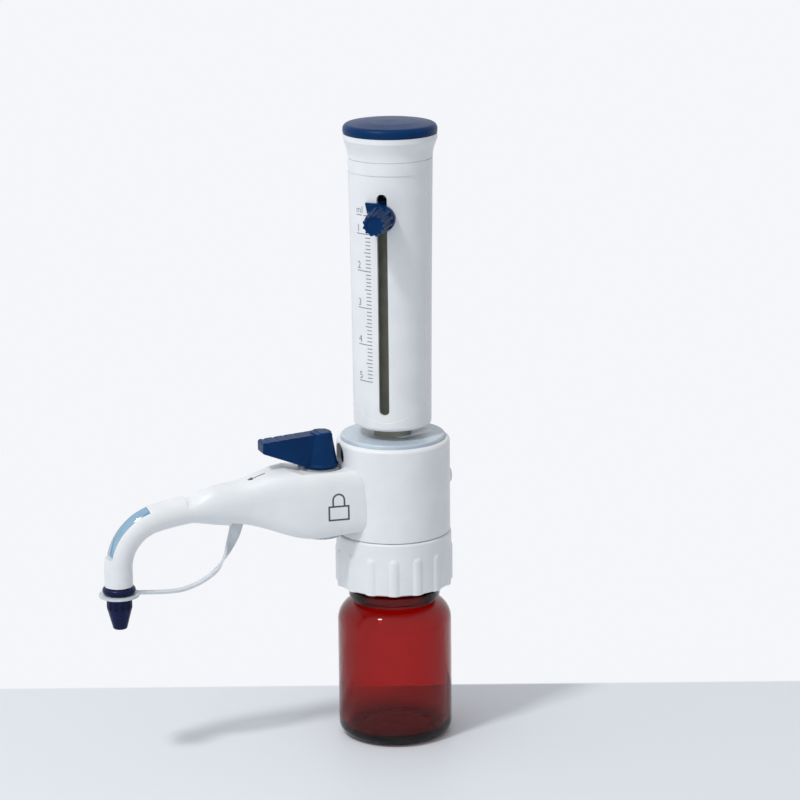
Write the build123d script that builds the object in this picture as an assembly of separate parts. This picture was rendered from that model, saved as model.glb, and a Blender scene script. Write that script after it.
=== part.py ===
from build123d import *
import os
from math import asin, atan2, cos, degrees, pi, radians, sin, sqrt

# Bottle-top dispenser, 5 mL, standing on its 100 mL amber bottle. Millimetres, +Z up.
# Origin on the common axis at the foot of the bottle. The discharge arm points along -X.

os.makedirs("parts", exist_ok=True)

# Fits
run_fit = 0.06
body_gap = 0.3
seat_gap = 0.1

# Reagent bottle with a GL45 finish
bottle_od = 56.0
bottle_h = 100.0
bottle_wall = 2.2
bottle_floor = 3.6
foot_d = 45.0
heel_r = 6.0
shoulder_r = 11.0
shoulder_fall = 4.0
neck_h = 30.0
neck_od = 41.0
neck_bore = 30.4
bead_od = 44.8
bead_h = 4.6
finish_od = 44.8
finish_h = 20.0
lip_h = 3.0

# Screw collar with its ribs, and the adapter that it clamps to the lip
collar_od = 56.4
collar_h = 26.1
collar_lip_t = 1.7
rib_count = 15
rib_r = 4.2
rib_proud = 0.7
rib_h = 20.5
rib_phase = -19.5
seal_t = 0.8
seal_w = 4.6
adapter_flange_t = 1.5
adapter_flange_d = 44.0
adapter_hub_d = 38.0

# Valve block in its housing
housing_od = 55.4
housing_wall = 2.2
housing_h = 46.5
housing_edge_r = 2.0
cover_d = 50.8
cover_t = 3.1
cover_proud = 1.9
cover_edge = 0.9
spigot_d = 24.0
spigot_len = 14.6
column_d = 25.0
boss_d = 16.0
foot_flange_t = 3.3
clip_t = 1.1
clip_depth = 1.0
niche_w = 10.4
niche_top = 0.9
niche_h = 8.6
vent_d = 8.2
vent_proud = 1.6
vent_drop = 22.0

# Filling valve and return spigot inside the bottle's neck
fill_body_d = 15.0
fill_seat_h = 1.4
fill_lip_h = 0.8
hose_spigot_d = 5.2
hose_spigot_len = 9.0
fill_bore = 2.4
ball_d = 4.8
ball_lift = 1.3
ball_room = 6.2
return_spigot_d = 3.6
return_spigot_len = 6.0
return_x = 9.7

# Cylinder, piston and guide
stroke = 90.0
barrel_bore = 8.4
barrel_wall = 2.0
barrel_sunk = 41.0
barrel_over = 50.2
jacket_d = 18.2
jacket_over = 1.9
stop_d = 23.0
stop_h = 5.5
rod_d = 7.8
piston_h = 8.0
piston_rest = 1.8

# Plunger sleeve, head and cap
sleeve_foot_d = 37.7
sleeve_mid_d = 38.7
sleeve_top_d = 40.5
sleeve_mid_h = 62.0
sleeve_rise = 4.9
sleeve_bore = 33.6
sleeve_edge_r = 2.0
slot_az = -32.0
slot_w = 5.0
slot_low = 8.2
slot_spare_low = 4.0
slot_spare_high = 2.9
slot_over = 14.7
panel_depth = 0.3
panel_half_a = 70.0
panel_bow = 22.0
panel_low = 4.4
panel_top = 6.0
head_d = 45.0
head_h = 11.6
head_plug_h = 6.0
cap_h = 4.4
cap_dome = 1.8
cap_d = 45.2
rod_flange_d = 14.0
rod_flange_t = 2.0

# Volume pointer and its clamping knob
pointer_disc_d = 13.2
pointer_face = 2.0
flag_len = 8.0
flag_top = 7.3
flag_low = 2.2
flag_t = 1.5
stem_w = 4.7
stem_h = 9.0
shoe_w = 12.0
shoe_h = 15.0
shoe_t = 2.4
lug_w = 6.0
lug_h = 4.5
pointer_down = 88.0
pointer_up = 4.0
knob_d = 13.0
knob_front_d = 10.6
knob_len = 15.2
flute_count = 12
flute_r = 1.15
stud_d = 3.0

# Discharge arm, valve and lever
arm_z = 21.0
arm_root_w = 37.2
arm_root_drop = 18.4
arm_root_rise = 16.0
arm_draft = 0.003
arm_tube_d = 13.5
arm_wall = 2.2
arm_reach = 139.2
arm_end_z = 91.3
arm_bend_r = 23.6
arm_droop = 12.0
arm_gentle_r = 130.0
deck_rise = 14.2
deck_len = 15.0
deck_hole_d = 22.6
liner_od = 4.2
liner_id = 2.4
liner_fit = 0.3
ferrule_d = 8.0
ferrule_h = 5.0
window_low_a = 17.0
window_high_a = 79.0
window_w = 9.8
window_sink_high = 1.2
window_sink_low = 3.6
window_floor = 1.3
valve_d = 18.0
valve_low = 20.2
valve_floor = 2.0
plug_d = 10.0
port_d = 3.0
drive_d = 7.0
drive_h = 7.5
skirt_d = 17.4
skirt_top_d = 10.6
skirt_lip = 1.2
skirt_gap = 0.5
lever_gap = 0.7
lever_h = 17.2
lever_len = 30.3
lever_end_h = 5.3
lever_end_drop = 2.3
lever_w = 8.4
grip_count = 6
grip_pitch = 5.0

# Nozzle closure and its tether
ring_od = 19.3
ring_t = 1.1
ring_z = 86.2
cap_bead_d = 16.0
cap_bead_h = 3.4
cap_neck_d = 11.8
cap_flange_d = 13.7
cap_flange_t = 1.1
cap_body_d = 12.2
cap_straight = 4.4
cap_taper = 10.6
cap_tip_d = 6.6
cap_bore = 5.4
cap_floor = 2.2
cap_drop = 16.0
cap_drop_spare = 0.7
cap_flutes = 12
strap_w = 4.2
strap_t = 1.3
anchor_back = 59.4
anchor_t = 2.6
anchor_l = 6.6
anchor_drop = 8.2

# Lengths that follow from the travels
ball_sit = sqrt((ball_d / 2) ** 2 - (fill_bore / 2) ** 2) + 0.04
fill_body_len = fill_seat_h + ball_sit + ball_d / 2 + ball_lift + fill_lip_h
barrel_h = piston_rest + piston_h + stroke + barrel_over
jacket_h = barrel_h - barrel_sunk + jacket_over
slot_len = slot_spare_low + pointer_down + stem_h + pointer_up + slot_spare_high
pointer_z = slot_low + slot_spare_low + pointer_down + stem_h / 2
sleeve_h = slot_low + slot_len + slot_over
anchor_x = arm_reach - anchor_back
liner_below = cap_drop - cap_drop_spare

# Levels along the axis, from the bottle upwards
z_lip = bottle_h
z_seal = z_lip + seat_gap
z_flange = z_seal + seal_t
z_flange_top = z_flange + adapter_flange_t
z_collar_lip = z_flange_top + 0.2
z_collar_top = z_collar_lip + collar_lip_t
z_collar = z_collar_top - collar_h
z_hub = z_collar_top + 0.2
z_block = z_hub + seat_gap
z_housing_top = z_block + housing_h
z_cover = z_housing_top + cover_proud
z_arm = z_block + arm_z
z_deck = z_arm + deck_rise
z_sleeve = z_cover + sleeve_rise
z_sleeve_top = z_sleeve + sleeve_h
z_head_top = z_sleeve_top + head_h
z_barrel = z_cover - barrel_sunk
z_jacket_top = z_cover + jacket_h
z_stop_top = z_jacket_top + stop_h
z_pointer = z_sleeve + pointer_z
housing_r = housing_od / 2
jacket_bore = barrel_bore + 2 * barrel_wall + 0.3
rod_fit = 0.07


def save(node, solid):
    export_step(solid, "parts/" + node + ".step")


def outline(points):
    corners = [(p[0], p[1]) for p in points]
    radii = [p[2] if len(p) > 2 else 0 for p in points]
    return make_face(FilletPolyline(*corners, radius=radii, close=True))


def turned(points):
    # points are (radius, height) or (radius, height, corner radius)
    return revolve(Plane.XZ * outline(points), Axis.Z)


def rod(d, z0, z1, x=0.0):
    return Pos(x, 0, z0) * Cylinder(d / 2, z1 - z0, align=(Align.CENTER, Align.CENTER, Align.MIN))


def ring(od, bore, z0, z1, x=0.0):
    return rod(od, z0, z1, x) - rod(bore, z0 - 1, z1 + 1, x)


def bar(d, start, end):
    # a round bar between two points
    a = Vector(*start)
    b = Vector(*end)
    place = Plane(origin=a, z_dir=b - a)
    return place * Cylinder(d / 2, (b - a).length, align=(Align.CENTER, Align.CENTER, Align.MIN))


# Bottle: punt in the base, moulded heel, shoulder, bead and plain finish
neck_z = bottle_h - neck_h
shoulder_z = neck_z - 1.0
bead_z = neck_z + 0.2
finish_z = bottle_h - finish_h
in_r = bottle_od / 2 - bottle_wall
bottle_profile = [
    (0, 1.8), (foot_d / 2 - 5, 1.4, 3), (foot_d / 2 - 1.5, 0, 1.2), (bottle_od / 2, 0, heel_r),
    (bottle_od / 2, shoulder_z - shoulder_fall, shoulder_r), (neck_od / 2, shoulder_z, 0.5),
    (neck_od / 2, bead_z), (bead_od / 2, bead_z + 0.8, 1.0), (bead_od / 2, bead_z + bead_h, 1.0),
    (neck_od / 2, bead_z + bead_h + 0.8), (neck_od / 2, finish_z),
    (finish_od / 2, finish_z + 1.2, 0.8), (finish_od / 2, bottle_h - lip_h - 1.2, 0.8),
    (neck_od / 2, bottle_h - lip_h), (neck_od / 2, bottle_h, 1.2),
    (neck_bore / 2, bottle_h, 1.2), (neck_bore / 2, shoulder_z - 0.4, 3),
    (in_r, shoulder_z - shoulder_fall - 2.4, shoulder_r - 2.0),
    (in_r, bottle_floor, heel_r - 1.5), (0, bottle_floor + 0.8),
]
save("bottle", turned(bottle_profile))

# Sealing ring between the lip and the adapter
seal_od = neck_od - 1.0
save("neck_seal", ring(seal_od, seal_od - 2 * seal_w, z_seal, z_flange))

# Adapter: flange held by the collar, hub that carries the block
adapter_bore = spigot_d + 2 * run_fit
adapter = turned([
    (adapter_bore / 2, z_flange), (adapter_flange_d / 2, z_flange, 0.3),
    (adapter_flange_d / 2, z_flange_top, 0.3), (adapter_hub_d / 2, z_flange_top),
    (adapter_hub_d / 2, z_hub, 0.3), (adapter_bore / 2, z_hub),
])
save("adapter", adapter)

# Screw collar: ribs end in round tops under a smooth band
collar_r = collar_od / 2
collar_body = turned([
    (0, z_collar), (collar_r, z_collar, 0.8), (collar_r, z_collar_top, 1.2), (0, z_collar_top),
])
rib_axis_r = collar_r + rib_proud - rib_r
rib_straight = rib_h - rib_r
rib = rod(2 * rib_r, z_collar, z_collar + rib_straight, rib_axis_r)
rib += Pos(rib_axis_r, 0, z_collar + rib_straight) * Sphere(rib_r)
collar = collar_body
for k in range(rib_count):
    collar += Rot(0, 0, rib_phase - 90 + k * 360 / rib_count) * rib
collar_bore = finish_od + 2 * body_gap
collar -= turned([
    (0, z_collar - 1), (collar_bore / 2 + 0.8, z_collar - 1), (collar_bore / 2 + 0.8, z_collar),
    (collar_bore / 2, z_collar + 0.8), (collar_bore / 2, z_collar_lip),
    (adapter_hub_d / 2 + body_gap, z_collar_lip), (adapter_hub_d / 2 + body_gap, z_collar_top + 1),
    (0, z_collar_top + 1),
])
save("collar", collar)

# Valve block: spigot through the adapter, foot flange, column, cover disc and outlet boss
cover_r = cover_d / 2
z_spigot = z_block - spigot_len
groove_z = z_flange - 0.4 - clip_t
block = turned([
    (0, z_spigot), (spigot_d / 2, z_spigot, 0.6), (spigot_d / 2, groove_z),
    (spigot_d / 2 - clip_depth, groove_z), (spigot_d / 2 - clip_depth, groove_z + clip_t),
    (spigot_d / 2, groove_z + clip_t), (spigot_d / 2, z_block), (cover_r, z_block),
    (cover_r, z_block + foot_flange_t), (column_d / 2, z_block + foot_flange_t, 1.5),
    (column_d / 2, z_cover - cover_t, 1.5), (cover_r, z_cover - cover_t),
    (cover_r, z_cover, cover_edge), (0, z_cover),
])
hub_x = housing_r + lever_gap + skirt_d / 2
chimney_in_x = hub_x - valve_d / 2
block += bar(boss_d, (0, 0, z_arm), (-(chimney_in_x - 0.05), 0, z_arm))
barrel_od = barrel_bore + 2 * barrel_wall
block -= rod(barrel_od + 0.1, z_barrel, z_cover + 1)
block -= rod(fill_bore, z_spigot - 1, z_barrel + 1)
block -= rod(return_spigot_d, z_spigot - 1, z_spigot + 4, return_x)
block -= bar(port_d, (0, 0, z_arm), (-chimney_in_x - 1, 0, z_arm))
valve_seat_x = housing_r - housing_wall - 8.5
block -= bar(ball_d + 0.5, (-valve_seat_x, 0, z_arm), (-valve_seat_x - ball_room - ball_lift, 0, z_arm))
block -= rod(valve_d + 0.1, z_arm - boss_d, z_arm + boss_d, -hub_x)
save("valve_block", block)

# Clip that keeps the spigot in the adapter
clip = ring(spigot_d + 3.0, spigot_d - 2 * clip_depth + 0.1, groove_z + 0.05, groove_z + clip_t - 0.05)
clip -= Pos(0, -spigot_d / 2, groove_z + clip_t / 2) * Box(4, 8, 4)
save("spigot_clip", clip)

# Housing: a smooth sleeve with a rounded top edge, an arched niche behind the lever and a vent hole
housing_bore = cover_d + 0.2
housing = turned([
    (housing_bore / 2, z_block), (housing_r, z_block, 0.4), (housing_r, z_housing_top, housing_edge_r),
    (housing_bore / 2, z_housing_top),
])
niche_r = niche_w / 2
niche_z = z_housing_top - niche_top - niche_r
niche = Pos(-housing_r, 0, niche_z) * Rot(0, 90, 0) * Cylinder(niche_r, 8)
niche += Pos(-housing_r, 0, niche_z - (niche_h - niche_r) / 2) * Box(8, niche_w, niche_h - niche_r)
housing -= niche
housing -= bar(boss_d + 0.1, (-10, 0, z_arm), (-housing_r - 2, 0, z_arm))
vent_z = z_housing_top - vent_drop
housing -= bar(vent_d + 0.1, (10, 0, vent_z), (housing_r + 2, 0, vent_z))
save("housing", housing)

# Vent plug at the back, with a screwdriver slot
vent_len = housing_wall + vent_proud
vent_face = housing_r + vent_proud
vent = revolve(Plane.XZ * outline([
    (0, 0), (vent_d / 2, 0), (vent_d / 2, vent_len, 0.8), (0, vent_len),
]), Axis.Z)
vent -= Pos(0, 0, vent_len) * Box(1.2, vent_d * 0.7, 1.6)
save("vent_plug", Plane(origin=(housing_r - housing_wall + 0.1, 0, vent_z), z_dir=(1, 0, 0)) * vent)

# Filling valve under the spigot: knurled body, ball seat and hose spigot
z_fill = z_spigot - fill_body_len
z_hose = z_fill - hose_spigot_len
chamber_d = ball_d + 0.5
seat_z = z_fill + fill_seat_h
fill = turned([
    (0, z_hose), (hose_spigot_d / 2 - 0.5, z_hose), (hose_spigot_d / 2, z_hose + 1.2),
    (hose_spigot_d / 2, z_fill), (fill_body_d / 2, z_fill, 0.8), (fill_body_d / 2, z_spigot, 0.3),
    (0, z_spigot),
])
for k in range(12):
    flat = Pos(fill_body_d / 2 + 0.55, 0, z_fill + fill_body_len / 2) * Cylinder(1.0, fill_body_len + 2)
    fill -= Rot(0, 0, 15 + k * 30) * flat
fill -= rod(fill_bore, z_hose - 1, z_spigot + 1)
fill -= rod(chamber_d, seat_z, z_spigot - fill_lip_h)
save("filling_valve", fill)
save("filling_ball", Pos(0, 0, seat_z + ball_sit) * Sphere(ball_d / 2))
ball_out_x = valve_seat_x + sqrt((ball_d / 2) ** 2 - (port_d / 2) ** 2) + 0.04
save("discharge_ball", Pos(-ball_out_x, 0, z_arm) * Sphere(ball_d / 2))

# Return spigot for the fluid that comes back while the air is driven out
back = ring(return_spigot_d - 0.1, 1.8, z_spigot - return_spigot_len, z_spigot + 3.9, return_x)
save("return_spigot", back)

# Glass barrel, its grey jacket and the stop ring on top
save("glass_barrel", ring(barrel_od, barrel_bore, z_barrel, z_barrel + barrel_h))
jacket = ring(jacket_d, jacket_bore, z_cover, z_jacket_top)
save("barrel_jacket", jacket)
stop_bore = rod_d + 2 * rod_fit
stop = turned([
    (stop_bore / 2, z_jacket_top), (jacket_d / 2, z_jacket_top), (stop_d / 2, z_jacket_top + 1.6),
    (stop_d / 2, z_stop_top, 1.0), (stop_bore / 2, z_stop_top, 0.3),
])
save("stop_ring", stop)

# Plunger sleeve: gently tapered, slotted, with a shallow panel round the scale
foot_r = sleeve_foot_d / 2
top_r = sleeve_top_d / 2
mid_r = sleeve_mid_d / 2
mid_z = z_sleeve + sleeve_mid_h
sleeve = turned([
    (0, z_sleeve), (foot_r, z_sleeve), (mid_r, mid_z), (top_r, z_sleeve_top), (0, z_sleeve_top),
])
foot_edge = sleeve.edges().filter_by(GeomType.CIRCLE).sort_by(Axis.Z)[0]
sleeve = fillet(foot_edge, sleeve_edge_r)
skin = revolve(Plane.XZ * outline([
    (foot_r - panel_depth, z_sleeve), (mid_r - panel_depth, mid_z),
    (top_r - panel_depth, z_sleeve_top), (top_r + 3, z_sleeve_top), (top_r + 3, z_sleeve),
]), Axis.Z, 2 * panel_half_a)
skin = Rot(0, 0, -90 - panel_half_a) * skin
panel_h = sleeve_h - panel_low - panel_top
shield_w = top_r + 4
shield_side = panel_low + panel_bow
shield = make_face([
    ThreePointArc((-shield_w, shield_side), (0, panel_low), (shield_w, shield_side)),
    Polyline((shield_w, shield_side), (shield_w, panel_low + panel_h), (-shield_w, panel_low + panel_h),
             (-shield_w, shield_side)),
])
shield_plane = Plane(origin=(0, 0, z_sleeve), x_dir=(1, 0, 0), z_dir=(0, -1, 0))
panel = skin & extrude(shield_plane * shield, amount=top_r + 4)
slot_r = slot_w / 2
slot_plane = Plane(origin=(0, 0, z_sleeve + slot_low), x_dir=(1, 0, 0), z_dir=(0, -1, 0))
slot = slot_plane * Pos(0, slot_len / 2) * Rot(0, 0, 90) * SlotOverall(slot_len, slot_w)
slot_cut = extrude(slot, amount=top_r + 4)
sleeve -= Rot(0, 0, slot_az) * panel
sleeve -= rod(sleeve_bore, z_sleeve - 1, z_sleeve_top + 1)
sleeve -= Rot(0, 0, slot_az) * slot_cut
save("sleeve", sleeve)

# Head: flared lip on a plug that fills the sleeve's top
head_r = head_d / 2
plug_r = sleeve_bore / 2 - 0.05
z_plug = z_sleeve_top - head_plug_h
flare = Spline(
    (top_r, z_sleeve_top + 0.3), (head_r, z_head_top - 2.4),
    tangents=((0.0, 1.0), (0.35, 1.0)))
head_rim = Polyline(
    (head_r, z_head_top - 2.4), (head_r, z_head_top), (0, z_head_top), (0, z_plug), (plug_r, z_plug),
    (plug_r, z_sleeve_top), (top_r - 0.4, z_sleeve_top), (top_r, z_sleeve_top + 0.3))
head = revolve(Plane.XZ * make_face([flare, head_rim]), Axis.Z)
screw_d = 9.0
screw_seat = z_head_top - 4.5
head -= rod(rod_d + 0.1, z_plug - 1, screw_seat + 0.5)
head -= rod(screw_d + 0.2, screw_seat, z_head_top + 1)
save("head", head)

# Navy cap disc: rounded rim and a shallow dome
cap_r = cap_d / 2
z_cap = z_head_top + 0.05
cap_profile = [
    (0, z_cap), (cap_r - 0.6, z_cap, 0.4), (cap_r, z_cap + 0.7, 0.6), (cap_r, z_cap + cap_h, 2.6),
    (cap_r * 0.55, z_cap + cap_h + cap_dome * 0.72, 20), (0, z_cap + cap_h + cap_dome),
]
save("head_cap", turned(cap_profile))

# Piston rod with its flange under the head, piston, and the screw that holds the head
z_piston = z_barrel + piston_rest
rod_top = screw_seat - 0.1
shaft = rod(rod_d, z_piston + piston_h, rod_top) + rod(rod_flange_d, z_plug - rod_flange_t, z_plug)
shaft -= rod(4.0, rod_top - 6, rod_top + 1)
save("piston_rod", shaft)
lip_r = barrel_bore / 2 - run_fit
piston = turned([
    (0, z_piston), (lip_r - 0.8, z_piston), (lip_r, z_piston + 0.8), (lip_r, z_piston + 1.8),
    (lip_r - 0.6, z_piston + 2.4), (lip_r - 0.6, z_piston + 4.6), (lip_r, z_piston + 5.2),
    (lip_r, z_piston + piston_h), (0, z_piston + piston_h),
])
save("piston", piston)
screw = rod(screw_d, screw_seat, screw_seat + 3.2) + rod(3.9, rod_top - 5.5, screw_seat + 1)
screw -= Pos(0, 0, screw_seat + 3.2) * Box(1.4, screw_d + 1, 2.4)
save("head_screw", screw)

# Pointer: flag and boss on the sleeve's face, with a stem through the slot
face_r = top_r - panel_depth + body_gap
face_y = face_r + pointer_face
tail_y = sleeve_bore / 2 - body_gap - 0.5


def facing(sketch, z):
    # a sketch drawn as seen from outside the slot, x to the right and y up
    return Plane(origin=(0, 0, z), x_dir=(1, 0, 0), z_dir=(0, -1, 0)) * sketch


disc = extrude(facing(Circle(pointer_disc_d / 2), z_pointer), amount=face_y)
disc -= rod(2 * face_r, z_pointer - pointer_disc_d, z_pointer + pointer_disc_d)
flag = outline([
    (-flag_len, flag_top, 0.3), (-flag_len + 1.2, flag_low, 0.6), (0, flag_low - 2), (0.5, flag_top, 1.5),
])
plate = extrude(facing(flag, z_pointer), amount=face_y + 4)
plate &= ring(2 * (face_r + flag_t), 2 * face_r, z_pointer - 2 * flag_top, z_pointer + 2 * flag_top)
stem_sketch = Rot(0, 0, 90) * SlotOverall(stem_h, stem_w)
stem = extrude(facing(stem_sketch, z_pointer), amount=face_y - 0.2)
stem -= Pos(0, 0, z_pointer) * Box(40, 2 * tail_y, 40)
stud_fit = stud_d + 2 * 0.1
stud_hole = bar(stud_fit, (0, 0, z_pointer), (0, -face_y - 5, z_pointer))
pointer = disc + plate + stem - stud_hole
turn = Rot(0, 0, slot_az)
save("pointer", turn * pointer)

# Shoe that slides behind the slot, with the lug that meets the stop ring
shoe_in = tail_y - shoe_t
shoe_out_r = sleeve_bore / 2 - body_gap
shoe = Pos(0, -(shoe_in + tail_y) / 2, z_pointer) * Box(shoe_w, tail_y - shoe_in, shoe_h)
shoe &= rod(2 * shoe_out_r, z_pointer - shoe_h, z_pointer + shoe_h)
lug_in = stop_d / 2 + body_gap
lug_z = z_pointer + shoe_h / 2 - lug_h / 2
shoe += Pos(0, -(lug_in + shoe_in) / 2, lug_z) * Box(lug_w, shoe_in - lug_in, lug_h)
shoe -= stud_hole
save("pointer_shoe", turn * shoe)

# Clamping knob: tapered, fluted, slightly dished in front
knob_y = face_y + body_gap
knob_body = turned([
    (0, 0), (knob_d / 2 - 0.5, 0, 0.3), (knob_d / 2, 1.0, 0.4), (knob_front_d / 2, knob_len, 0.9),
    (0, knob_len),
])
taper_a = degrees(atan2((knob_d - knob_front_d) / 2, knob_len))
groove = Rot(0, -taper_a, 0) * Pos(0, 0, 2.6 + knob_len / 2) * Cylinder(flute_r, knob_len + 0.2)
groove += Rot(0, -taper_a, 0) * Pos(0, 0, 2.5) * Sphere(flute_r)
for k in range(flute_count):
    knob_body -= Rot(0, 0, k * 360 / flute_count) * Pos(knob_d / 2 + flute_r * 0.3, 0, 0) * groove
knob_body -= Pos(0, 0, knob_len) * Cylinder(knob_front_d / 2 - 1.8, 0.8)
knob_body -= rod(stud_d + 0.02, -1, knob_len - 3)
knob_place = Plane(origin=(0, -knob_y, z_pointer), x_dir=(1, 0, 0), z_dir=(0, -1, 0))
save("knob", turn * (knob_place * knob_body))
stud_in = lug_in + 0.8
stud = bar(stud_d, (0, -stud_in, z_pointer), (0, -(knob_y + knob_len - 3.1), z_pointer))
save("knob_stud", turn * stud)

# Centre line of the arm: level, a long gentle bow, the bend, then straight down
bow_end_x = arm_reach - arm_bend_r * (1 - sin(radians(arm_droop)))
bow_x = bow_end_x - arm_gentle_r * sin(radians(arm_droop))
bow_drop = arm_gentle_r * (1 - cos(radians(arm_droop)))
bow_mid = (
    -(bow_x + arm_gentle_r * sin(radians(arm_droop / 2))),
    z_arm - arm_gentle_r * (1 - cos(radians(arm_droop / 2))),
)
bend_cx = bow_end_x - arm_bend_r * sin(radians(arm_droop))
bend_cz = z_arm - bow_drop - arm_bend_r * cos(radians(arm_droop))
mid_a = radians((arm_droop + 90) / 2)
bend_mid = (-(bend_cx + arm_bend_r * sin(mid_a)), bend_cz + arm_bend_r * cos(mid_a))


def arm_path(x_start, z_end):
    level = Line((-x_start, 0, z_arm), (-bow_x, 0, z_arm))
    bow = ThreePointArc(
        (-bow_x, 0, z_arm), (bow_mid[0], 0, bow_mid[1]), (-bow_end_x, 0, z_arm - bow_drop))
    bend = ThreePointArc(
        (-bow_end_x, 0, z_arm - bow_drop), (bend_mid[0], 0, bend_mid[1]), (-arm_reach, 0, bend_cz))
    down = Line((-arm_reach, 0, bend_cz), (-arm_reach, 0, z_end))
    return Wire([level, bow, bend, down])


def tube_from(x_start, z_end, d):
    path = arm_path(x_start, z_end)
    start = Plane(origin=(-x_start, 0, z_arm), z_dir=(-1, 0, 0))
    return sweep(start * Circle(d / 2), path=path)


def bent_tube(a0, z_end, d):
    # from an angle on the gentle bow down to the end of the spout
    a = radians(a0)
    x0 = bow_x + arm_gentle_r * sin(a)
    z0 = z_arm - arm_gentle_r * (1 - cos(a))
    am = (a + radians(arm_droop)) / 2
    xm = bow_x + arm_gentle_r * sin(am)
    zm = z_arm - arm_gentle_r * (1 - cos(am))
    bow = ThreePointArc((-x0, 0, z0), (-xm, 0, zm), (-bow_end_x, 0, z_arm - bow_drop))
    bend = ThreePointArc(
        (-bow_end_x, 0, z_arm - bow_drop), (bend_mid[0], 0, bend_mid[1]), (-arm_reach, 0, bend_cz))
    down = Line((-arm_reach, 0, bend_cz), (-arm_reach, 0, z_end))
    start = Plane(origin=(-x0, 0, z0), z_dir=(-cos(a), 0, -sin(a)))
    return sweep(start * Circle(d / 2), path=Wire([bow, bend, down]))


# Arm shell: wide and slab-sided at the block, drawn in to a round spout
flare_a = 6.0
flare_x = bow_x + arm_gentle_r * sin(radians(flare_a))
root_x = housing_r - 12.0
tube_r = arm_tube_d / 2
arm_span = flare_x - root_x
# one row per station: half width, rise and drop as shares between spout and root, squareness
arm_form = [
    (1.0, 1.0, 1.0, 4.4), (0.94, 1.0, 1.06, 4.4), (0.865, 1.0, 1.16, 4.4), (0.747, 1.0, 1.16, 4.0),
    (0.544, 0.94, 0.88, 3.3), (0.35, 0.62, 0.51, 2.7), (0.215, 0.42, 0.29, 2.3), (0.09, 0.20, 0.13, 2.1),
    (0.0, 0.0, 0.0, 2.0),
]


def arm_section(k, inset, floor):
    width, rise, drop, square = arm_form[k]
    w = tube_r + (arm_root_w / 2 - tube_r) * width - inset
    high = tube_r + (arm_root_rise - tube_r) * rise - inset
    low = tube_r + (arm_root_drop - tube_r) * drop - inset + floor
    if floor > 0:
        high = min(high, deck_rise - inset)
    x = root_x + arm_span * k / (len(arm_form) - 1)
    bow = max(0.0, x - bow_x)
    dip = arm_gentle_r - sqrt(arm_gentle_r ** 2 - bow ** 2)
    lean = asin(bow / arm_gentle_r)
    place = Plane(origin=(-x, 0, z_arm - dip), x_dir=(0, -1, 0), z_dir=(-cos(lean), 0, -sin(lean)))
    ring_pts = []
    for i in range(24):
        t = 2 * pi * (i + 0.5) / 24
        c = abs(cos(t)) ** (2 / square) * (1 if cos(t) > 0 else -1)
        v = abs(sin(t)) ** (2 / square) * (1 if sin(t) > 0 else -1)
        up = v * (high if v > 0 else low)
        taper = 1 - arm_draft * up * width
        ring_pts.append((w * c * taper, up))
    return place * make_face(Spline(*ring_pts, periodic=True))


last = len(arm_form) - 1
arm = loft([arm_section(k, 0.03 if k == last else 0.0, 0.0) for k in range(last + 1)])
spout = bent_tube(flare_a - 0.7, arm_end_z, arm_tube_d)
arm += spout
deck_x = hub_x + deck_len
ramp = [
    (-(root_x - 8), 0), (-deck_x + 2.0, 0, 5), (-deck_x - 6.0, 2.2, 1), (-deck_x - 9, 6), (-(root_x - 8), 6),
]
ramp_plane = Plane(origin=(0, 0, z_deck), x_dir=(1, 0, 0), z_dir=(0, -1, 0))
arm -= extrude(ramp_plane * outline(ramp), amount=30, both=True)
arm -= loft([arm_section(k, arm_wall, 12.0) for k in range(last - 1)])
arm -= rod(housing_od + 0.1, z_block - 30, z_cover + 30)
arm -= rod(deck_hole_d, z_arm + 5, z_cover + 30, -hub_x)
arm -= tube_from(hub_x, arm_end_z - 5, liner_od + 2 * liner_fit)
arm -= rod(ferrule_d + 0.1, arm_end_z - 5, arm_end_z + ferrule_h + 0.05, -arm_reach)

# Window set into the outside of the bend, deeper towards the nozzle
window_in = arm_bend_r + window_floor
window_out_high = arm_bend_r + tube_r - window_sink_high
window_out_low = arm_bend_r + tube_r - window_sink_low
sector_lo = radians(window_low_a)
sector_hi = radians(window_high_a)


def bend_sector(r_in, r_high, r_low, width, a0, a1):
    am = (a0 + a1) / 2

    def at(r, a):
        return (-(bend_cx + r * sin(a)), bend_cz + r * cos(a))

    r_mid = (r_high + r_low) / 2 + 0.2
    edges = [
        ThreePointArc(at(r_high, a0), at(r_mid, am), at(r_low, a1)), Line(at(r_low, a1), at(r_in, a1)),
        ThreePointArc(at(r_in, a1), at(r_in, am), at(r_in, a0)), Line(at(r_in, a0), at(r_high, a0)),
    ]
    side = Plane(origin=(0, 0, 0), x_dir=(1, 0, 0), z_dir=(0, -1, 0))
    return extrude(side * make_face(edges), amount=width / 2, both=True)


window_clear = arm_bend_r + tube_r + 2
arm -= bend_sector(window_in, window_clear, window_clear, window_w, sector_lo, sector_hi)
save("arm_shell", arm)
window = bend_sector(
    window_in + 0.02, window_out_high, window_out_low, window_w - 0.1, sector_lo + 0.003, sector_hi - 0.003)
window &= bent_tube(10.0, arm_end_z, arm_tube_d - 0.3)
window -= bent_tube(9.0, arm_end_z - 1, liner_od + 2 * liner_fit)
save("spout_window", window)

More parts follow.
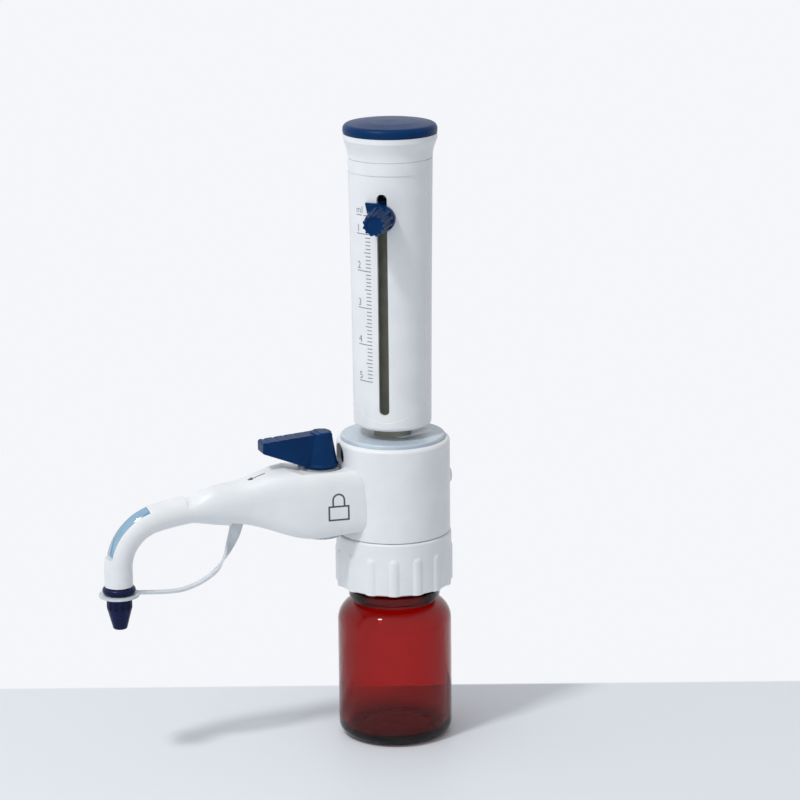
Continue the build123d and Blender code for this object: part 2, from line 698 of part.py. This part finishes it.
# Discharge valve under the lever: a chimney with a rotating plug
z_valve = z_arm - valve_low
z_valve_top = z_deck
chimney = rod(valve_d, z_valve, z_valve_top, -hub_x)
plug_bore = plug_d + 2 * run_fit
chimney -= rod(plug_bore, z_valve + valve_floor, z_valve_top + 1, -hub_x)
chimney -= bar(port_d, (-(hub_x - valve_d), 0, z_arm), (-hub_x, 0, z_arm))
chimney -= bar(liner_od + 0.1, (-hub_x, 0, z_arm), (-(hub_x + valve_d), 0, z_arm))
save("valve_chimney", chimney)
z_plug_low = z_valve + valve_floor + 0.2
plug = rod(plug_d, z_plug_low, z_valve_top + 0.2, -hub_x)
plug += rod(drive_d, z_valve_top, z_valve_top + drive_h, -hub_x)
plug -= bar(port_d, (-(hub_x - plug_d), 0, z_arm), (-(hub_x + plug_d), 0, z_arm))
save("valve_plug", plug)

# Lever: wedge over a flared skirt, with shallow grips across its top
z_skirt = z_valve_top + skirt_gap
z_lever_top = z_skirt + lever_h
tip_x = hub_x + lever_len
wedge = outline([
    (-(hub_x - skirt_top_d / 2 + 0.6), z_lever_top - 0.1, 1.2), (-tip_x, z_lever_top - lever_end_drop, 1.2),
    (-tip_x, z_lever_top - lever_end_drop - lever_end_h, 0.8), (-(hub_x + skirt_d / 2 - 0.6), z_skirt + 0.6),
    (-(hub_x - skirt_top_d / 2 + 0.6), z_skirt + 0.6),
])
side_plane = Plane(origin=(0, 0, 0), x_dir=(1, 0, 0), z_dir=(0, -1, 0))
beam = extrude(side_plane * wedge, amount=lever_w / 2, both=True)
hub = turned([
    (0, z_skirt), (skirt_d / 2, z_skirt, 0.4), (skirt_d / 2, z_skirt + skirt_lip, 0.4),
    (skirt_d / 2 - 0.7, z_skirt + skirt_lip + 0.6, 0.4), (skirt_top_d / 2, z_lever_top, 1.2),
    (0, z_lever_top),
])
lever = beam + Pos(-hub_x, 0, 0) * hub
for k in range(grip_count):
    grip_x = lever_len - 2.6 - k * grip_pitch
    grip_z = z_lever_top - lever_end_drop * grip_x / lever_len + 1.35
    lever -= Pos(-hub_x - grip_x, 0, grip_z) * Rot(90, 0, 0) * Cylinder(1.7, lever_w * 3)
lever -= rod(drive_d + 0.1, z_skirt - 1, z_valve_top + drive_h + 0.1, -hub_x)
save("lever", lever)

# Liner tube: from the valve through the arm and out of the spout
liner_end = arm_end_z - liner_below
liner = tube_from(hub_x + valve_d / 2 - 3.0, liner_end, liner_od)
liner -= tube_from(hub_x + valve_d / 2 - 3.5, liner_end - 1, liner_id)
save("discharge_tube", liner)

# Ferrule that centres the liner in the end of the spout
save("spout_ferrule", ring(ferrule_d, liner_od + 0.1, arm_end_z - 0.2, arm_end_z + ferrule_h, -arm_reach))

# Nozzle closure: bead, neck for the tether ring, flange, fluted and tapered body
z_ring_top = ring_z + ring_t
z_bead = z_ring_top + 0.2
z_bead_top = z_bead + cap_bead_h
z_flange_hi = ring_z - 0.2
z_flange_lo = z_flange_hi - cap_flange_t
z_straight = z_flange_lo - cap_straight
z_tip = z_straight - cap_taper
bead_r = cap_bead_h / 2
closure = turned([
    (0, z_tip), (cap_tip_d / 2, z_tip, 0.8), (cap_body_d / 2, z_straight, 2.0),
    (cap_body_d / 2, z_flange_lo), (cap_flange_d / 2, z_flange_lo, 0.3),
    (cap_flange_d / 2, z_flange_hi, 0.3), (cap_neck_d / 2, z_flange_hi), (cap_neck_d / 2, z_bead),
    (cap_bead_d / 2, z_bead, bead_r - 0.05), (cap_bead_d / 2, z_bead_top, bead_r - 0.05),
    (cap_bead_d / 2 - cap_bead_h + 0.4, z_bead_top, 0.7), (cap_bore / 2, z_bead_top - 2.0, 0.5),
    (cap_bore / 2, z_tip + cap_floor), (0, z_tip + cap_floor),
])
cap_taper_a = degrees(atan2((cap_body_d - cap_tip_d) / 2, cap_taper))
for k in range(cap_flutes):
    low = Pos(cap_body_d / 2 + 0.25, 0, z_straight) * Rot(0, 180 - 0.55 * cap_taper_a, 0)
    cutter = low * Cylinder(0.7, cap_taper + 4, align=(Align.CENTER, Align.CENTER, Align.MIN))
    cutter += Pos(cap_body_d / 2 + 0.25, 0, z_straight) * Cylinder(
        0.7, cap_straight - 0.8, align=(Align.CENTER, Align.CENTER, Align.MIN))
    closure -= Rot(0, 0, k * 360 / cap_flutes) * cutter
save("nozzle_cap", Pos(-arm_reach, 0, 0) * closure)

# Tether: ring in the closure's neck, a moulded strap, and its anchor inside the arm
ring_bore = cap_neck_d + 2 * body_gap
save("tether_ring", ring(ring_od, ring_bore, ring_z, z_ring_top, -arm_reach))
anchor_z = z_arm - anchor_drop
anchor_w = 13.6
anchor = Pos(-anchor_x, 0, anchor_z + anchor_t / 2) * Box(anchor_l, anchor_w, anchor_t)
save("tether_anchor", anchor)
ring_edge = arm_reach - ring_od / 2
strap_mid = (ring_z + z_ring_top) / 2
strap_line = [
    (-(ring_edge + 0.25), strap_mid), (-(ring_edge - 12.5), strap_mid - 1.5), (-(arm_reach - 34.7), ring_z - 0.9),
    (-(arm_reach - 48.0), ring_z + 5.6), (-(arm_reach - 55.0), ring_z + 17.3), (-anchor_x, anchor_z - 0.02),
]
strap_path = FilletPolyline(*strap_line, radius=[45, 24, 26, 40])
band = trace(strap_path, strap_t)
strap = extrude(side_plane * band, amount=strap_w / 2, both=True)
strap -= rod(ring_od + 0.02, ring_z - 3, z_ring_top + 3, -arm_reach)
strap -= Pos(-anchor_x, 0, anchor_z + 5) * Box(30, 30, 10)
save("tether_strap", strap)
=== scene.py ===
# Bottle-top dispenser: finishes, print and the soft strap, put on the solids of the frame

from math import cos, pi, radians, sin

import bpy
from mathutils import Matrix, Vector


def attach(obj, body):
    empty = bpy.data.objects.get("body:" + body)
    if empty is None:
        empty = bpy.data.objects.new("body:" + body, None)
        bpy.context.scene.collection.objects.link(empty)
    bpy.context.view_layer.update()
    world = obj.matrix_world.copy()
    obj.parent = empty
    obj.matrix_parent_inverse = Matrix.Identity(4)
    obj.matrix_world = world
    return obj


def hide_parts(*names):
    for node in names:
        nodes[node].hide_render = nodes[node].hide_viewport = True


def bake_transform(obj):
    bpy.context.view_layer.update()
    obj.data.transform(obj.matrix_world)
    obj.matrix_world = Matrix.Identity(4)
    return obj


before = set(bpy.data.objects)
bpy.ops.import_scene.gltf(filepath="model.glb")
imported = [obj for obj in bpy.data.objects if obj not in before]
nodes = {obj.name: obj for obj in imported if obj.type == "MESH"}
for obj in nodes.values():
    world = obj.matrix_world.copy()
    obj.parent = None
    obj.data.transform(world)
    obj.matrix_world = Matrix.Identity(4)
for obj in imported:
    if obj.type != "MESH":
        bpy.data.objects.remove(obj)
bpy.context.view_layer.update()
bpy.ops.object.select_all(action="DESELECT")

# Print, strap and finishes are sized in millimetres, and the camera, lamp and table in metres
MM = 0.001


# Colours and nodes


def linear(hex_colour):
    # an sRGB hex colour as the linear values that a shader takes
    parts = [int(hex_colour[i:i + 2], 16) / 255 for i in (1, 3, 5)]
    return [p / 12.92 if p <= 0.04045 else ((p + 0.055) / 1.055) ** 2.4 for p in parts] + [1.0]


def add(tree, kind, settings=None, **links):
    # adds a node. An input goes by its name, as Base_Color, or by its place, as i6, and takes a
    # number, a colour or another node's output
    made = tree.nodes.new("ShaderNode" + kind)
    for key, value in (settings or {}).items():
        setattr(made, key, value)
    for key, value in links.items():
        by_place = key[0] == "i" and key[1:].isdigit()
        socket = made.inputs[int(key[1:])] if by_place else made.inputs[key.replace("_", " ")]
        if isinstance(value, bpy.types.NodeSocket):
            tree.links.new(value, socket)
        else:
            socket.default_value = value
    return made


def new_material(name):
    # an empty node tree with its principled shader, and Object coordinates in millimetres
    material = bpy.data.materials.new(name)
    material.use_nodes = True
    tree = material.node_tree
    tree.nodes.clear()
    out = tree.nodes.new("ShaderNodeOutputMaterial")
    shader = tree.nodes.new("ShaderNodeBsdfPrincipled")
    tree.links.new(shader.outputs["BSDF"], out.inputs["Surface"])
    place = add(tree, "TexCoord").outputs["Object"]
    in_mm = add(tree, "Mapping", Vector=place, Scale=(1000, 1000, 1000)).outputs["Vector"]
    return material, tree, shader, in_mm


def moulded(name, light, dark, patch, grain, relief, rough, ior, **more):
    # two near shades in soft patches, and the fine skin that a mould or a cutter leaves. patch and
    # grain are sizes in millimetres and relief is the skin's height in millimetres. more sets other
    # inputs of the shader
    material, tree, shader, at = new_material(name)
    shades = add(tree, "TexNoise", Vector=at, Scale=1 / patch, Detail=2.0).outputs["Fac"]
    spread = add(tree, "MapRange", Value=shades, From_Min=0.35, From_Max=0.65).outputs["Result"]
    mix = add(tree, "Mix", {"data_type": "RGBA"}, Factor=spread, i6=linear(light), i7=linear(dark))
    tree.links.new(mix.outputs["Result"], shader.inputs["Base Color"])
    skin = add(tree, "TexNoise", Vector=at, Scale=1 / grain, Detail=3.0, Roughness=0.6).outputs["Fac"]
    bump = add(tree, "Bump", Strength=1.0, Distance=relief * MM, Height=skin)
    tree.links.new(bump.outputs["Normal"], shader.inputs["Normal"])
    glossiest = rough - 0.04
    dullest = rough + 0.05
    haze = add(tree, "MapRange", Value=skin, From_Min=0.3, From_Max=0.7, To_Min=glossiest, To_Max=dullest)
    tree.links.new(haze.outputs["Result"], shader.inputs["Roughness"])
    shader.inputs["IOR"].default_value = ior
    for key, value in more.items():
        shader.inputs[key.replace("_", " ")].default_value = value
    return material


# White polypropylene, moulded: a satin, slightly soft white with blunt highlights
white = moulded("white_polypropylene", "#E7E9EB", "#E1E4E7", patch=14.0, grain=0.9, relief=0.006,
                rough=0.38, ior=1.49)

# Navy polypropylene, moulded: deep blue with a satin sheen
navy = moulded("navy_polypropylene", "#003060", "#002A55", patch=8.0, grain=0.8, relief=0.008,
               rough=0.36, ior=1.24, Specular_IOR_Level=0.35)

# Dark blue polyethylene of the nozzle closure: a little waxy
closure_blue = moulded("blue_polyethylene", "#0B1A46", "#08153A", patch=5.0, grain=0.7, relief=0.008,
                       rough=0.28, ior=1.30, Specular_IOR_Level=0.35)

# Fluoropolymer of the valve block: smooth, waxy, light blue-grey and a little translucent
fluoro = moulded("fluoropolymer_block", "#C3CFD9", "#B7C5D1", patch=10.0, grain=1.0, relief=0.003,
                 rough=0.24, ior=1.38, Subsurface_Weight=0.25, Subsurface_Scale=0.003)

# Natural fluoropolymer of tubes and valves: milky and translucent
milky = moulded("fluoropolymer_natural", "#D6DEE4", "#CBD6DE", patch=6.0, grain=0.8, relief=0.003,
                rough=0.28, ior=1.38, Transmission_Weight=0.35)

# White PTFE, turned: opaque, waxy white
ptfe = moulded("ptfe_turned", "#ECECEA", "#E4E4E2", patch=4.0, grain=0.6, relief=0.004,
               rough=0.40, ior=1.35)

# Ceramic rod, ground: dense white with a hard gloss
ceramic = moulded("ceramic_ground", "#E3E3DF", "#DCDCD7", patch=6.0, grain=0.6, relief=0.001,
                  rough=0.18, ior=1.70)

# Polycarbonate window of the spout: clear light blue, glossy
window_blue = moulded("polycarbonate_blue", "#86B6D4", "#76A9CA", patch=6.0, grain=1.0, relief=0.004,
                      rough=0.14, ior=1.585, Transmission_Weight=0.25)

# Natural polypropylene of the tether: milky grey, lets a little light through
tether = moulded("polypropylene_natural", "#DCE2E7", "#D0D7DD", patch=5.0, grain=0.8, relief=0.004,
                 rough=0.36, ior=1.49, Transmission_Weight=0.10)

# Jacket of the glass barrel: grey tube with an olive cast
jacket_grey = moulded("jacket_tube", "#A6A594", "#989787", patch=9.0, grain=0.8, relief=0.004,
                      rough=0.42, ior=1.50)

# Nitrile seal: dull black
nitrile = moulded("nitrile", "#26272A", "#1E1F22", patch=4.0, grain=0.6, relief=0.010,
                  rough=0.62, ior=1.52)

# Stainless steel, turned: mid grey metal with a soft shine
steel = moulded("stainless_turned", "#A7A9AC", "#9C9FA3", patch=3.0, grain=0.5, relief=0.002,
                rough=0.28, ior=1.50, Metallic=1.0)

# Borosilicate glass of the barrel, drawn: clear, with a faint slow waviness
clear_glass = moulded("borosilicate_clear", "#F4F8F8", "#F1F6F7", patch=20.0, grain=12.0, relief=0.01,
                      rough=0.03, ior=1.473, Transmission_Weight=1.0)

# Amber borosilicate of the bottle: deep red where light passes, near black where the wall is seen
# edge on, and gently wavy from the blow mould. The wall takes most of the green and blue away
wave_length = 16.0
wave_height = 0.25
kept_colour = (0.80, 0.04, 0.005, 1.0)
amber_density = 1250.0
amber, tree, shader, at = new_material("borosilicate_amber")
shader.inputs["Base Color"].default_value = linear("#FFFFFF")
shader.inputs["Transmission Weight"].default_value = 1.0
shader.inputs["Roughness"].default_value = 0.02
shader.inputs["IOR"].default_value = 1.34
wave = add(tree, "TexNoise", Vector=at, Scale=1 / wave_length, Detail=1.0).outputs["Fac"]
bump = add(tree, "Bump", Strength=1.0, Distance=wave_height * MM, Height=wave)
tree.links.new(bump.outputs["Normal"], shader.inputs["Normal"])
depth = add(tree, "VolumeAbsorption", Color=kept_colour, Density=amber_density)
tree.links.new(depth.outputs["Volume"], tree.nodes["Material Output"].inputs["Volume"])

# Screen-printed inks: thin, matt and a little uneven
grey_ink = moulded("grey_ink", "#7F868D", "#777E86", patch=3.0, grain=0.4, relief=0.003,
                   rough=0.5, ior=1.5)
dark_ink = moulded("dark_ink", "#4A525B", "#434B54", patch=3.0, grain=0.4, relief=0.003,
                   rough=0.5, ior=1.5)

finish_of = {
    "bottle": amber, "neck_seal": nitrile, "adapter": white, "collar": white, "valve_block": fluoro,
    "spigot_clip": steel, "housing": white, "vent_plug": white, "filling_valve": milky,
    "filling_ball": ceramic, "discharge_ball": ceramic, "return_spigot": milky, "glass_barrel": clear_glass,
    "barrel_jacket": jacket_grey, "stop_ring": jacket_grey, "sleeve": white, "head": white, "head_cap": navy,
    "piston_rod": ceramic, "piston": ptfe, "head_screw": steel, "pointer": navy, "pointer_shoe": navy,
    "knob": navy, "knob_stud": steel, "arm_shell": white, "spout_window": window_blue,
    "valve_chimney": milky, "valve_plug": ptfe, "lever": navy, "discharge_tube": milky,
    "spout_ferrule": white, "nozzle_cap": closure_blue, "tether_ring": tether, "tether_strap": tether,
    "tether_anchor": tether,
}
for name, finish in finish_of.items():
    for place in nodes[name].material_slots:
        place.material = finish


# Print: flat bars and figures, laid on the curved walls

cap_share = 0.72
print_cuts = 5
ink_height = 0.04


def bars(lines, width):
    # flat strips on the XY plane, each (x, y, x, y) in millimetres
    made = []
    for x0, y0, x1, y1 in lines:
        run = Vector((x1 - x0, y1 - y0, 0))
        bpy.ops.mesh.primitive_plane_add(size=MM, location=((x0 + x1) / 2 * MM, (y0 + y1) / 2 * MM, 0))
        strip = bpy.context.object
        strip.scale = (run.length, width, 1)
        strip.rotation_euler = (0, 0, Vector((1, 0, 0)).rotation_difference(run).to_euler().z)
        made.append(strip)
    return made


def figures(text, height, x, y):
    # a line of figures of that height, with its left foot at x, y in millimetres
    bpy.ops.object.text_add(location=(x * MM, y * MM, 0))
    word = bpy.context.object
    word.data.body = text
    word.data.size = height / cap_share * MM
    bpy.ops.object.convert(target="MESH")
    return bpy.context.object


def print_on(parts, name, ink, place, wall, body):
    # joins the parts, lays them on a wall along their own -Z and lets them ride on its body
    bpy.ops.object.select_all(action="DESELECT")
    for part in parts:
        part.select_set(True)
    bpy.context.view_layer.objects.active = parts[0]
    bpy.ops.object.transform_apply(location=True, rotation=True, scale=True)
    bpy.ops.object.join()
    printed = bpy.context.object
    printed.name = name
    bpy.ops.object.mode_set(mode="EDIT")
    bpy.ops.mesh.select_all(action="SELECT")
    bpy.ops.mesh.subdivide(number_cuts=print_cuts)
    bpy.ops.object.mode_set(mode="OBJECT")
    printed.matrix_world = place
    wrap = printed.modifiers.new("lay", "SHRINKWRAP")
    wrap.target = wall
    wrap.wrap_method = "PROJECT"
    wrap.use_project_x = False
    wrap.use_project_y = False
    wrap.use_project_z = True
    wrap.use_negative_direction = True
    wrap.use_positive_direction = False
    wrap.offset = ink_height * MM
    bpy.ops.object.modifier_apply(modifier="lay")
    bpy.ops.object.transform_apply(location=True, rotation=True, scale=True)
    printed.data.materials.clear()
    printed.data.materials.append(ink)
    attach(printed, body)


def facing(azimuth, radius, z):
    # a sheet that faces outwards at an azimuth from -Y: its x runs to the viewer's right and its y up
    a = radians(azimuth)
    out = Vector((sin(a), -cos(a), 0))
    right = Vector((cos(a), sin(a), 0))
    turn = Matrix((right, Vector((0, 0, 1)), out)).transposed().to_4x4()
    return Matrix.Translation(out * radius * MM + Vector((0, 0, z * MM))) @ turn


# Volume scale: a mark each 0.1 mL, longer at each half and longest at each whole one. It is drawn on
# a sheet just outside the sleeve, with y = 0 at the height of 0 mL
scale_az = -60.0
sheet_r = 24.0
zero_z = 272.3
pitch = 18.0
first_tenth = 5
last_tenth = 50
mark_w = 0.42
mark_right = 3.5
mark_left = {"minor": 0.7, "half": -0.2, "whole": -5.0}
figure_h = 3.6
figure_left = -5.0
over_mark = 1.0
unit_h = 3.4
unit_left = -5.2
unit_y = -pitch * 0.5
unit_line_right = -1.2
marks = []
words = []
for tenth in range(first_tenth, last_tenth + 1):
    kind = "whole" if tenth % 10 == 0 else "half" if tenth % 5 == 0 else "minor"
    y = -pitch * tenth / 10
    marks.append((mark_left[kind], y, mark_right, y))
    if kind == "whole":
        words.append(figures(str(tenth // 10), figure_h, figure_left, y + over_mark))
words.append(figures("ml", unit_h, unit_left, unit_y + over_mark))
marks.append((figure_left, unit_y, unit_line_right, unit_y))
scale_sheet = facing(scale_az, sheet_r, zero_z)
print_on(bars(marks, mark_w) + words, "volume_scale", grey_ink, scale_sheet, nodes["sleeve"], "plunger")

# Padlock on the arm's near side: a line drawing, its sides run on by half a line at the corners
lock_at = Vector((-34.0, -30.0, 120.6))
lock_line = 0.85
corner_over = 0.4
half_w = 4.8
half_h = 3.3
bow_r = 2.8
bow_leg = 3.2
bow_steps = 10
bow_foot = half_h + bow_leg
lock = [
    (-half_w, -half_h, half_w, -half_h),
    (-half_w, half_h, half_w, half_h),
    (-half_w, -half_h - corner_over, -half_w, half_h + corner_over),
    (half_w, -half_h - corner_over, half_w, half_h + corner_over),
    (bow_r, half_h, bow_r, bow_foot),
    (-bow_r, half_h, -bow_r, bow_foot),
]
bow_angles = [pi * k / bow_steps for k in range(bow_steps + 1)]
bow = [(bow_r * cos(a), bow_foot + bow_r * sin(a)) for a in bow_angles]
lock += [(a[0], a[1], b[0], b[1]) for a, b in zip(bow, bow[1:])]
lock_place = Matrix.Translation(lock_at * MM) @ Matrix.Rotation(radians(90), 4, "X")
print_on(bars(lock, lock_line), "padlock_print", dark_ink, lock_place, nodes["arm_shell"], "block")

# Arrow along the top of the arm, towards the spout: a shaft, two barbs and a short bar behind the tip
arrow_at = Vector((-70.4, -2.6, 160.0))
arrow_line = 0.8
tail_x = 4.2
neck_x = -3.4
tip_x = -4.4
barb_x = -2.2
barb_y = 1.1
bar_x = -2.6
bar_y = 0.8
arrow = [
    (tail_x, 0, neck_x, 0),
    (tip_x, 0, barb_x, barb_y),
    (tip_x, 0, barb_x, -barb_y),
    (bar_x, -bar_y, bar_x, bar_y),
]
arrow_place = Matrix.Translation(arrow_at * MM)
print_on(bars(arrow, arrow_line), "arrow_print", dark_ink, arrow_place, nodes["arm_shell"], "block")


# Tether strap: a moulded ribbon that lies flat at the ring and stands on edge where it enters the arm.
# Its run is a row of points on the arm's middle plane, each as distance out from the bottle's axis and height

strap_run = [
    (130.0, 86.75), (124.5, 86.2), (119.5, 85.7), (113.8, 85.4), (108.1, 85.6), (102.7, 86.9), (98.5, 88.5),
    (94.5, 90.6), (91.5, 92.8), (89.0, 95.4), (85.6, 100.9), (83.2, 106.4), (81.2, 111.6), (79.8, 117.2),
]
strap_steps = 8
strap_rows = 4
strap_wall = 1.15
ring_w = 3.6
arm_w = 6.6
widen_from = 0.6
widen_share = 0.4
widen_power = 1.5
turn_from = 0.62
turn_share = 0.33
look_ahead = 0.002
smooth_under = 40


def along(t):
    # a smooth run through the points, t from 0 at the ring to 1 in the arm
    last = len(strap_run) - 1
    k = min(int(t * last), last - 1)
    u = t * last - k
    a, b, c, d = [Vector(strap_run[min(max(k + j, 0), last)]) for j in (-1, 0, 1, 2)]
    first_power = (c - a) * u
    second_power = (2 * a - 5 * b + 4 * c - d) * u * u
    third_power = (3 * b - a - 3 * c + d) * u ** 3
    return 0.5 * (2 * b + first_power + second_power + third_power)


bpy.ops.object.select_all(action="DESELECT")
strap_cuts = (len(strap_run) - 1) * strap_steps
bpy.ops.mesh.primitive_grid_add(x_subdivisions=strap_cuts, y_subdivisions=strap_rows, size=2.0)
strap = bpy.context.object
strap.name = "tether_ribbon"
for v in strap.data.vertices:
    t = (v.co.x + 1) / 2
    side = v.co.y
    here = along(t)
    ahead = (along(min(t + look_ahead, 1.0)) - along(max(t - look_ahead, 0.0))).normalized()
    turned = min(max((t - turn_from) / turn_share, 0.0), 1.0)
    turned = turned * turned * (3 - 2 * turned) * pi / 2
    widened = min(max((t - widen_from) / widen_share, 0.0), 1.0) ** widen_power
    width = ring_w + (arm_w - ring_w) * widened
    across = Vector((ahead.y * sin(turned), cos(turned), ahead.x * sin(turned)))
    v.co = (Vector((-here.x, 0, here.y)) + across * side * width / 2) * MM
thick = strap.modifiers.new("wall", "SOLIDIFY")
thick.thickness = strap_wall * MM
thick.offset = 0.0
bpy.ops.object.modifier_apply(modifier="wall")
bpy.ops.object.mode_set(mode="EDIT")
bpy.ops.mesh.select_all(action="SELECT")
bpy.ops.mesh.normals_make_consistent(inside=False)
bpy.ops.object.mode_set(mode="OBJECT")
bpy.ops.object.shade_smooth_by_angle(angle=radians(smooth_under))
strap.data.materials.append(tether)
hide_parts("tether_strap")
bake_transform(strap)


# Camera: at the photograph's viewing angle

table_turn = 19.5
eye = Vector((-0.4766, -1.3460, 0.5375))
heading = table_turn + 0.144
look_down = 14.462
camera_roll = -0.520
focal_px = 3040.27
frame_px = 800
sensor_w = 36.0
bpy.ops.object.camera_add(location=eye)
camera = bpy.context.object
camera.data.sensor_fit = "HORIZONTAL"
camera.data.sensor_width = sensor_w
camera.data.lens = focal_px / frame_px * sensor_w
camera.data.clip_start = 0.05
camera.data.clip_end = 20.0
turn = Matrix.Rotation(-radians(heading), 4, "Z")
turn = turn @ Matrix.Rotation(radians(90 - look_down), 4, "X")
turn = turn @ Matrix.Rotation(radians(camera_roll), 4, "Z")
camera.matrix_world = Matrix.Translation(eye) @ turn
bpy.context.scene.camera = camera


# Light: one small lamp, high on the left and in front, in a studio that glows from its left side

aim = Vector((0.0, 0.0, 0.16))
lamp_way = Vector((-0.619, -0.311, 1.0)).normalized()
lamp_far = 1.6
lamp_size = 0.18
lamp_power = 10.8
bpy.ops.object.light_add(type="AREA", location=aim + lamp_way * lamp_far)
lamp = bpy.context.object
lamp.data.size = lamp_size
lamp.data.energy = lamp_power
lamp.rotation_euler = lamp_way.to_track_quat("Z", "Y").to_euler()

backdrop_white = linear("#F5F6FA")
backdrop_strength = 1.0
open_side = Vector((-0.80, -0.25, 0.55)).normalized()
glow_most = 0.96


def shows_backdrop(tree):
    # 1 for a ray that sees the plain backdrop: from the camera, through glass or off a gloss
    ray = add(tree, "LightPath").outputs
    larger = {"operation": "MAXIMUM"}
    seen = add(tree, "Math", larger, i0=ray["Is Camera Ray"], i1=ray["Is Transmission Ray"])
    seen = add(tree, "Math", larger, i0=seen.outputs["Value"], i1=ray["Is Glossy Ray"])
    return seen.outputs["Value"]


world = bpy.data.worlds.new("studio")
bpy.context.scene.world = world
world.use_nodes = True
tree = world.node_tree
tree.nodes.clear()
seen = shows_backdrop(tree)
toward = add(tree, "TexCoord").outputs["Generated"]
lit = add(tree, "VectorMath", {"operation": "DOT_PRODUCT"}, i0=toward, i1=open_side).outputs["Value"]
fill = add(tree, "MapRange", Value=lit, From_Min=-1.0, To_Max=glow_most).outputs["Result"]
glow = add(tree, "Background", Color=linear("#F6F8FA"), Strength=fill).outputs["Background"]
back = add(tree, "Background", Color=backdrop_white, Strength=backdrop_strength).outputs["Background"]
both = add(tree, "MixShader", Fac=seen, i1=glow, i2=back).outputs["Shader"]
add(tree, "OutputWorld", Surface=both)


# Table: pale grey-blue up to its back edge, and the white backdrop beyond it

table_size = 12.0
table_edge = 0.0637
edge_blur = 0.001
bpy.ops.mesh.primitive_plane_add(size=table_size, location=(0, 0, 0))
table = bpy.context.object
table.name = "table"
surface = bpy.data.materials.new("table_top")
surface.use_nodes = True
tree = surface.node_tree
tree.nodes.clear()
place = add(tree, "TexCoord").outputs["Object"]
away = Vector((sin(radians(table_turn)), cos(radians(table_turn)), 0))
run = add(tree, "VectorMath", {"operation": "DOT_PRODUCT"}, i0=place, i1=away).outputs["Value"]
edge_near = table_edge - edge_blur
edge_far = table_edge + edge_blur
beyond = add(tree, "MapRange", Value=run, From_Min=edge_near, From_Max=edge_far).outputs["Result"]
seen = shows_backdrop(tree)
share = add(tree, "Math", {"operation": "MULTIPLY"}, i0=seen, i1=beyond).outputs["Value"]
top = add(tree, "BsdfPrincipled", Base_Color=linear("#E6EAF0"), Roughness=0.55).outputs["BSDF"]
plain = add(tree, "Emission", Color=backdrop_white, Strength=backdrop_strength).outputs["Emission"]
both = add(tree, "MixShader", Fac=share, i1=top, i2=plain).outputs["Shader"]
add(tree, "OutputMaterial", Surface=both)
table.data.materials.append(surface)

bpy.context.scene.view_settings.view_transform = "Standard"
